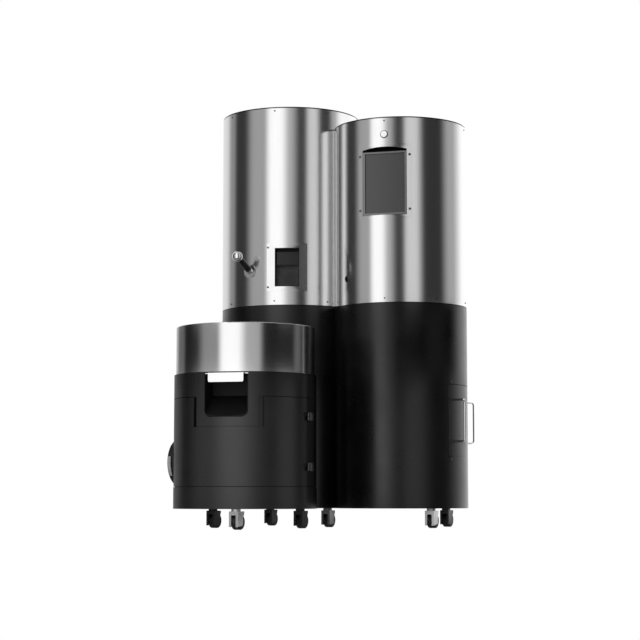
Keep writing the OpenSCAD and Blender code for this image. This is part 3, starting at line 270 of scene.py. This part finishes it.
def make_key():
    """A square lamp above the machine's left front, unseen in the mirrors."""
    data = bpy.data.lights.new("key", "AREA")
    data.shape = "RECTANGLE"
    data.size = data.size_y = KEY_SIDE
    data.energy = KEY_WATTS
    lamp = link(bpy.data.objects.new("key", data))
    lamp.location = KEY_AT
    lamp.rotation_euler = (Vector(KEY_AIM) - Vector(KEY_AT)).to_track_quat("-Z", "Y").to_euler()
    lamp.visible_glossy = False


def group_brushing():
    """Fine upright brushing: noise squeezed along Z."""
    group = bpy.data.node_groups.new("brushing", "ShaderNodeTree")
    group.interface.new_socket(name="Density", in_out="INPUT", socket_type="NodeSocketFloat")
    group.interface.new_socket(name="Value", in_out="OUTPUT", socket_type="NodeSocketFloat")
    t = Tree(group)
    given = t.add("NodeGroupInput")
    squeezed = t.add("ShaderNodeMapping", Vector=t.place(), Scale=(1.0, 1.0, 0.012))
    grain = t.add("ShaderNodeTexNoise", Vector=squeezed.outputs[0], Scale=given.outputs[0], Detail=3.0, Roughness=0.6)
    t.add("NodeGroupOutput", i0=grain.outputs[0])
    return group


def shiny(name):
    mat, t = empty_material(name)
    bsdf = t.add("ShaderNodeBsdfPrincipled")
    t.add("ShaderNodeOutputMaterial", Surface=bsdf.outputs[0])
    return mat, t, bsdf


def metal(name, low, high, rough_low, rough_high, brush=None, shade_from_z=None, shade_grey=0.05):
    """Metal whose colour and roughness drift along fine brushing, with painted shade: a flat dark grey above a given
    height.
    """
    mat, t, bsdf = shiny(name)
    bsdf.inputs["Metallic"].default_value = 1.0
    if brush:
        fac = t.add("ShaderNodeGroup", {"node_tree": brush}, i0=900.0).outputs[0]
    else:
        fac = t.noise(14.0)
    color = t.ramp(fac, low, high)
    # Painted shade: above the given height the colour turns to a flat dark grey, for the shade along a tower's rim
    # and in the bezel's recess
    if shade_from_z:
        z = t.add("ShaderNodeSeparateXYZ", Vector=t.place()).outputs[2]
        color = t.mix(t.math("GREATER_THAN", z, shade_from_z), color, grey(shade_grey))
    t.set(bsdf, "Base Color", color)
    t.set(bsdf, "Roughness", t.ramp(fac, rough_high, rough_low))
    return mat


def coated(name, low, high, rough, bump=0.0, grain=900.0, coat=0.0, specular=0.5):
    """Paint, plastic or rubber with a slight drift of colour and roughness."""
    mat, t, bsdf = shiny(name)
    fac = t.noise(9.0)
    t.set(bsdf, "Base Color", t.ramp(fac, low, high))
    t.set(bsdf, "Roughness", t.ramp(fac, rough - 0.04, rough + 0.04))
    bsdf.inputs["Specular IOR Level"].default_value = specular
    bsdf.inputs["Coat Weight"].default_value = coat
    bsdf.inputs["Coat Roughness"].default_value = 0.15
    if bump:
        node = t.add("ShaderNodeBump", Height=t.noise(grain), Strength=bump, Distance=0.0003)
        t.set(bsdf, "Normal", node.outputs[0])
    return mat


def glass(name, tint, through):
    """Smoked glass, slightly uneven in its tint."""
    mat, t, bsdf = shiny(name)
    t.set(bsdf, "Base Color", t.ramp(t.noise(6.0), tint, tint * 1.15))
    bsdf.inputs["Roughness"].default_value = 0.05
    bsdf.inputs["Transmission Weight"].default_value = through
    bsdf.inputs["IOR"].default_value = 1.45
    return mat


def make_materials():
    brush = group_brushing()
    steel = (0.67, 0.71, 0.17, 0.20, brush)
    return {
        "steel": metal("steel_brushed", *steel),
        # The towers' steel, with painted shade along their rims
        "steel_roast": metal("steel_roast", *steel, ROAST_TOP - RIM_SHADE_DEPTH),
        "steel_control": metal("steel_control", *steel, CONTROL_TOP - RIM_SHADE_DEPTH),
        # The bezel's metal, with painted shade in its recess above BEZEL_TOP
        "bezel": metal("bezel", 0.15, 0.19, 0.30, 0.36, brush, BEZEL_TOP, 0.004),
        "inner": metal("steel_inner", 0.44, 0.52, 0.32, 0.38, brush),
        # Near-black steel on the window's frame: painted shade in the window's recess
        "liner": metal("steel_liner", 0.020, 0.028, 0.40, 0.46, brush),
        "chrome": metal("chrome", 0.78, 0.86, 0.06, 0.10),
        "screw": metal("screw", 0.16, 0.22, 0.25, 0.35),
        # Dark metal on the button rings: painted shade of the gap round each button
        "ring_gap_shade": metal("ring_gap_shade", 0.10, 0.14, 0.20, 0.30),
        # One zinc plating in three tones, as lit, half-shaded and shaded copies: painted light and shade
        "zinc_lit": metal("zinc_painted_lit", 0.52, 0.60, 0.30, 0.40),
        "zinc_half_shade": metal("zinc_half_shade", 0.16, 0.21, 0.34, 0.44),
        "zinc_shade": metal("zinc_shade", 0.045, 0.07, 0.38, 0.5),
        "dark_steel": metal("dark_steel", 0.05, 0.07, 0.38, 0.5),
        "cast": coated("cast", 0.030, 0.045, 0.55, bump=0.3, grain=300.0),
        "black": coated("black_paint", 0.0050, 0.0070, 0.30, bump=0.015),
        # Black paint made darker and duller: partly the chute's own black paint, partly painted shade inside the
        # cooler's mouth and the lowest seam
        "black_paint_and_shade": coated("black_paint_and_shade", 0.0030, 0.0045, 0.6, specular=0.2),
        "rubber": coated("rubber", 0.012, 0.018, 0.6, bump=0.1),
        "motor": coated("motor_paint", 0.045, 0.06, 0.4),
        "glass": glass("smoked_glass", 0.02, 0.35),
        "screen": coated("screen", 0.032, 0.040, 0.22, coat=0.3),
        # A light grey for the painted highlight on the outlet's collar
        "highlight_grey": coated("highlight_grey", 0.38, 0.42, 0.5),
    }


LOOKS = {
    "steel": ("cooler_ring", "trier_collar", "hopper_lid", "roast_top_cover", "control_top_cover",
              "cooling_gate", "trier_sleeve"),
    "steel_roast": ("roast_upper_shell",),
    "steel_control": ("control_upper_shell",),
    "liner": ("window_frame",),
    "bezel": ("display_frame",),
    "inner": ("cooling_tray", "stirrer", "heater_box", "drum_housing", "bean_hopper",
              "chaff_cyclone", "cooling_fan", "roast_blower"),
    "ring_gap_shade": ("button_rings",),
    "chrome": ("bin_handles", "power_button", "side_button"),
    "screw": ("casing_screws",),
    "black": ("tower_base", "cooler_base", "roast_lower_shell", "control_lower_shell", "cooler_rear_shell",
              "cooler_collar", "cooler_door", "link_bracket", "exhaust_collar", "chaff_bin", "roast_frame",
              "trier_spoon"),
    "black_paint_and_shade": ("cooling_chute",),
    "cast": ("roasting_drum",),
    "dark_steel": ("drum_front_plate", "discharge_door", "roast_blower_wheel", "cooling_fan_wheel"),
    "motor": ("drum_gearmotor", "stirrer_motor"),
    "glass": ("sight_glass",),
    "screen": ("display_screen",),
    "rubber": tuple("caster_wheel_%d" % k for k in range(1, 8)),
    # The casters' forks share one plating; its three tones are painted light and shade, fork by fork
    "zinc_lit": ("caster_fork_3", "caster_fork_5"),
    "zinc_half_shade": ("caster_fork_1",),
    "zinc_shade": ("caster_fork_2", "caster_fork_4", "caster_fork_6", "caster_fork_7"),
}


def dress():
    """Gives every CAD node its finish."""
    mats = make_materials()
    look = {node: mats[key] for key, names in LOOKS.items() for node in names}
    for name, obj in NODES.items():
        obj.data.materials.clear()
        obj.data.materials.append(look[name])
    return mats


def at(centre, angle, r, z):
    """The point (cx + r sin a, cy - r cos a, z), a counted to the right from the front."""
    a = math.radians(angle)
    return np.array([centre[0] + r * math.sin(a), centre[1] - r * math.cos(a), z])


def facing(angle):
    """Rows (right, up, out) of the upright frame that faces outward at an angle."""
    a = math.radians(angle)
    return np.array([[math.cos(a), math.sin(a), 0], [0, 0, 1], [math.sin(a), -math.cos(a), 0]])


def circle(n):
    """Unit circle points (cos w, sin w)."""
    w = np.linspace(0, 2 * np.pi, n, endpoint=False)
    return np.stack([np.cos(w), np.sin(w)], 1)


def piece(name, points, faces, mat, body):
    """Makes the mesh, smooth but for its creases, and rides it on its body.

    The signed volume, a sixth of the sum of a . (b x c) over the triangles, tells whether the
    faces point inwards and have to be turned round.
    """
    origin = points.mean(0)
    threes = np.concatenate([f[:, [0, k, k + 1]] for f in faces for k in range(1, f.shape[1] - 1)])
    a, b, c = (points[threes] - origin).transpose(1, 0, 2)
    if np.einsum("ij,ij->", a, np.cross(b, c)) < 0:
        faces = [f[:, ::-1] for f in faces]
    mesh = bpy.data.meshes.new(name)
    mesh.from_pydata(points.tolist(), [], [row for f in faces for row in f.tolist()])
    mesh.polygons.foreach_set("use_smooth", np.ones(len(mesh.polygons), bool))
    mesh.set_sharp_from_angle(angle=CREASE)
    mesh.materials.append(mat)
    obj = link(bpy.data.objects.new(name, mesh))
    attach(obj, body)
    return obj


def skin(name, rings, mat, body, tips=None):
    """Joins closed rings (m, n, 3) in order and closes each end in a fan to its tip.

    The tips are the middles of the end rings where none are given.
    """
    m, n = rings.shape[:2]
    ends = np.stack([rings[0].mean(0), rings[-1].mean(0)] if tips is None else tips)
    i, j = np.arange(m - 1)[:, None] * n, np.arange(n)
    k = (j + 1) % n
    quads = np.stack([i + j, i + k, i + n + k, i + n + j], -1).reshape(-1, 4)
    last = (m - 1) * n
    first_fan = np.stack([np.full(n, m * n), k, j], 1)
    last_fan = np.stack([np.full(n, m * n + 1), last + j, last + k], 1)
    points = np.concatenate([rings.reshape(-1, 3), ends])
    return piece(name, points, [quads, np.concatenate([first_fan, last_fan])], mat, body)


def hoop(name, rings, mat):
    """Joins closed rings (m, n, 3) in order and the last one to the first, on the chassis."""
    m, n = rings.shape[:2]
    i, j = np.arange(m)[:, None], np.arange(n)[None]
    k, h = (j + 1) % n, (i + 1) % m
    quads = np.stack([i * n + j, i * n + k, h * n + k, h * n + j], -1).reshape(-1, 4)
    return piece(name, rings.reshape(-1, 3), [quads], mat, "chassis")


def turned(profile, n):
    """Rings (r cos w, r sin w, h) of the (radius, height) points of a profile."""
    profile = np.asarray(profile, float)
    flat = profile[:, None, :1] * circle(n)[None]
    return np.concatenate([flat, np.broadcast_to(profile[:, None, 1:], flat.shape[:2] + (1,))], -1)


def lathe(name, profile, origin, rows, mat, body, n):
    """A profile turned about the frame's out axis."""
    return skin(name, origin + turned(profile, n) @ rows, mat, body)


def ball(name, centre, r, mat, body):
    """Rings r sin u round the centre at heights r cos u, with tips at both poles."""
    u = np.linspace(0, np.pi, 30)[1:-1]
    rings = centre + r * turned(np.c_[np.sin(u), np.cos(u)], 56)
    return skin(name, rings, mat, body, [centre + [0, 0, r], centre - [0, 0, r]])


def rounded(w, h, corner, steps=6):
    """A closed rounded rectangle: quarter circles of radius corner round its four corner centres."""
    q = np.repeat(np.arange(4), steps + 1)
    turn = (q + np.tile(np.linspace(0, 1, steps + 1), 4)) * np.pi / 2
    side = np.array([[1, 1], [-1, 1], [-1, -1], [1, -1]])[q]
    return side * (np.array([w, h]) / 2 - corner) + corner * np.stack([np.cos(turn), np.sin(turn)], 1)


def slab(name, size, corner, edge, origin, rows, mat, body):
    """A plate (width, height, thickness): its outline pulls in by edge (1 - sin q) at both faces."""
    w, h, t = size
    q = np.linspace(0, np.pi / 2, 5)
    pull = edge * (1 - np.sin(q))
    rise = edge * (1 - np.cos(q))
    levels = zip(np.concatenate([pull, pull[::-1]]), np.concatenate([rise, t - rise[::-1]]))
    outlines = [(rounded(w - 2 * p, h - 2 * p, max(corner - p, 1e-5)), z) for p, z in levels]
    rings = np.stack([np.c_[flat, np.full(len(flat), z)] for flat, z in outlines])
    return skin(name, origin + rings @ rows, mat, body)


def tube_along(name, path, r, mat, body, n=20):
    """Circles of radius r square to a flat path: side cos w + normal sin w, side in the path's plane."""
    along = np.gradient(path, axis=0)
    along /= np.linalg.norm(along, axis=1)[:, None]
    normal = np.cross(path[1] - path[0], path[-1] - path[1])
    normal /= np.linalg.norm(normal)
    side = np.cross(normal, along)
    w = circle(n)
    rings = path[:, None] + r * (side[:, None] * w[None, :, :1] + normal * w[None, :, 1:])
    return skin(name, rings, mat, body)


def bow(corners, bend, steps=10):
    """A path through corners, each rounded by a quadratic arc that starts a bend's length away."""
    c = np.asarray(corners)
    w = np.linspace(0, 1, steps + 1)[:, None]
    out = [c[:1]]
    for before, corner, after in zip(c, c[1:], c[2:]):
        start = corner + (before - corner) / np.linalg.norm(before - corner) * bend
        end = corner + (after - corner) / np.linalg.norm(after - corner) * bend
        out.append(start * (1 - w) ** 2 + corner * 2 * w * (1 - w) + end * w ** 2)
    return np.concatenate(out + [c[-1:]])


def bent(local, centre, angle, z):
    """Wraps (across, up, radius) on a tower: the turn from the angle is across / radius."""
    r = local[..., 2]
    a = math.radians(angle) + local[..., 0] / r
    return np.stack([centre[0] + r * np.sin(a), centre[1] - r * np.cos(a), z + local[..., 1]], -1)


def outline(half_w, low, high, arch=0.0, n=24):
    """A rectangle walked side by side; its top may bulge by arch (1 - (x / half_w)^2)."""
    t = np.linspace(-1, 1, n, endpoint=False)
    ones = np.ones(n)
    up = (t + 1) / 2 * (high - low)
    return np.concatenate([
        np.c_[t * half_w, ones * low], np.c_[ones * half_w, low + up],
        np.c_[-t * half_w, high + arch * (1 - t ** 2)], np.c_[-ones * half_w, high - up]])


def cover_plate(name, centre, angle, r, z, outer, inner, mat):
    """A bent sheet with an opening: a loop of four outlines, outside and inside, at r and r + COVER_T."""
    r += OFF_SKIN
    sides = ((outer, r), (outer, r + COVER_T), (inner, r + COVER_T), (inner, r))
    local = np.stack([np.c_[o, np.full(len(o), h)] for o, h in sides])
    return hoop(name, bent(local, centre, angle, z), mat)


def screw(name, centre, angle, r, z, head, rise, mat):
    """A domed screw head: a shallow quarter-ellipse profile with a socket sunk in its middle."""
    q = np.linspace(0, np.pi / 2, 7)[:-1]
    dome = np.c_[head * (1 - 0.75 * (1 - np.cos(q))), rise * np.sin(q)]
    socket = [[head * 0.30, rise], [head * 0.28, rise * 0.35]]
    profile = np.concatenate([[[head, -0.0008]], dome, socket])
    return lathe(name, profile, at(centre, angle, r, z), facing(angle), mat, "chassis", 24)


def corner_screws(word, centre, angle, r, z, across, up, head, rise, mat):
    """Four screws at (+-across, +-up) from the middle of a cover plate, on its face."""
    for k, (u, v) in enumerate(((-1, 1), (1, 1), (-1, -1), (1, -1))):
        turn = angle + math.degrees(u * across / r)
        screw("%s_screw_%d" % (word, k + 1), centre, turn, r + OFF_SKIN + COVER_T, z + v * up, head, rise, mat)


def handles(mats):
    """The bin's two bow handles with rounded bends."""
    grip, foot, middle, half_h, rod, bend = 0.300, 0.2588, 0.407, 0.0792, 0.0043, 0.011
    for side, word in ((-1, "left"), (1, "right")):
        angle = 91.8 + side * 26.6
        bends = ((foot, -half_h), (grip, -half_h), (grip, half_h), (foot, half_h))
        ends = [at(CONTROL_AT, angle, r, middle + up) for r, up in bends]
        bar = tube_along("bow_handle_" + word, bow(ends, bend), rod, mats["chrome"], "chaff_bin")
        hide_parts("bin_handles")


def covers(mats):
    """The bent cover plates round the display and the window, with their screws."""
    place = (CONTROL_AT, DISPLAY_TURN, CONTROL_R, DISPLAY_Z)
    hole = outline(0.0888, -0.1268, 0.1268, 0.010)
    cover_plate("display_cover", *place, outline(0.106, -0.140, 0.148), hole, mats["steel"])
    corner_screws("display", *place, 0.099, 0.105, 0.0050, 0.0032, mats["screw"])
    place = (ROAST_AT, WINDOW_TURN, ROAST_R, WINDOW_Z)
    hole = outline(0.0478, -0.0758, 0.0758)
    cover_plate("window_cover", *place, outline(0.080, -0.094, 0.094), hole, mats["steel"])
    corner_screws("window", *place, 0.075, 0.078, 0.0040, 0.0026, mats["screw"])


def trier(mats):
    """The ball knob at the end of the trier's grip."""
    turn, steep, reach = -20.5, math.radians(31.0), 0.096
    axis = math.cos(steep) * facing(turn)[2] + math.sin(steep) * facing(turn)[1]
    centre = at(ROAST_AT, turn, ROAST_R, 0.997) + axis * reach
    ball("trier_ball", centre, 0.0207, mats["chrome"], "trier_spoon")


def hinges(mats):
    """Cover blocks over the service door's two hinges, and the sleeves of their knuckles."""
    block_turn, knuckle_turn = 79.0, 75.0
    block_r, knuckle_r = COOLER_R + 0.0003, COOLER_R + 0.0063
    inner, outer, chamfer = 0.0058, 0.0066, 0.0008
    for k, rise in enumerate((0.071, 0.253), 1):
        z = BODY_Z + rise
        # The blocks in half-shaded zinc and the sleeves in shaded zinc: painted shade on one plating
        slab("hinge_block_%d" % k, (0.024, 0.031, 0.011), 0.003, 0.0018, at(COOLER_AT, block_turn, block_r, z),
             facing(block_turn), mats["zinc_half_shade"], "chassis")
        upright = facing(knuckle_turn)[[0, 2, 1]]
        for word, low, high, body in (("low", -0.0142, -0.0002, "chassis"), ("high", 0.0003, 0.0142, "cooler_door")):
            profile = [[inner, low], [outer, low + chamfer], [outer, high - chamfer], [inner, high]]
            lathe("hinge_sleeve_%d_%s" % (k, word), profile, at(COOLER_AT, knuckle_turn, knuckle_r, z),
                  upright, mats["zinc_shade"], body, 32)


def outlet_highlight_bar(mats):
    """A painted highlight on the outlet's collar: a light-grey flat bar carried along an arc of the collar's side."""
    turn = np.radians(np.linspace(-34, 14, 17))[:, None]
    r, d = np.array([[0.0882, 0.267], [0.0894, 0.267], [0.0894, 0.279], [0.0882, 0.279]]).T
    rings = np.stack([r * np.cos(turn), r * np.sin(turn), d + 0 * turn], -1)
    place = at(COOLER_AT, -101.0, 0.0, 0.246) + rings @ facing(-101.0)
    skin("collar_highlight_bar", place, mats["highlight_grey"], "chassis")


def flap_stile(mats):
    """The upright stile at the left edge of the drum's discharge flap."""
    rows = facing(WINDOW_TURN)
    place = at(ROAST_AT, WINDOW_TURN, 0.2372, 0.9737) - rows[0] * 0.0392
    # Half-shaded zinc: painted shade on the stile in the window's recess
    slab("flap_stile", (0.0085, 0.0700, 0.0016), 0.0008, 0.0006, place, rows,
         mats["zinc_half_shade"], "discharge_door")


def seam_shade_strip(mats):
    """A dark strip of painted shade behind the cooler's lowest seam, a flat band turned right round."""
    band = [[0.2590, -0.009], [0.2590, 0.009], [0.2565, 0.009], [0.2565, -0.009]]
    rings = turned(band, 128) + [*COOLER_AT, BODY_Z]
    hoop("seam_shade_strip", rings, mats["black_paint_and_shade"])


make_camera()
make_world()
make_wall()
make_floor()
make_key()
MATS = dress()
for make in (handles, covers, trier, hinges, outlet_highlight_bar, flap_stile, seam_shade_strip):
    make(MATS)
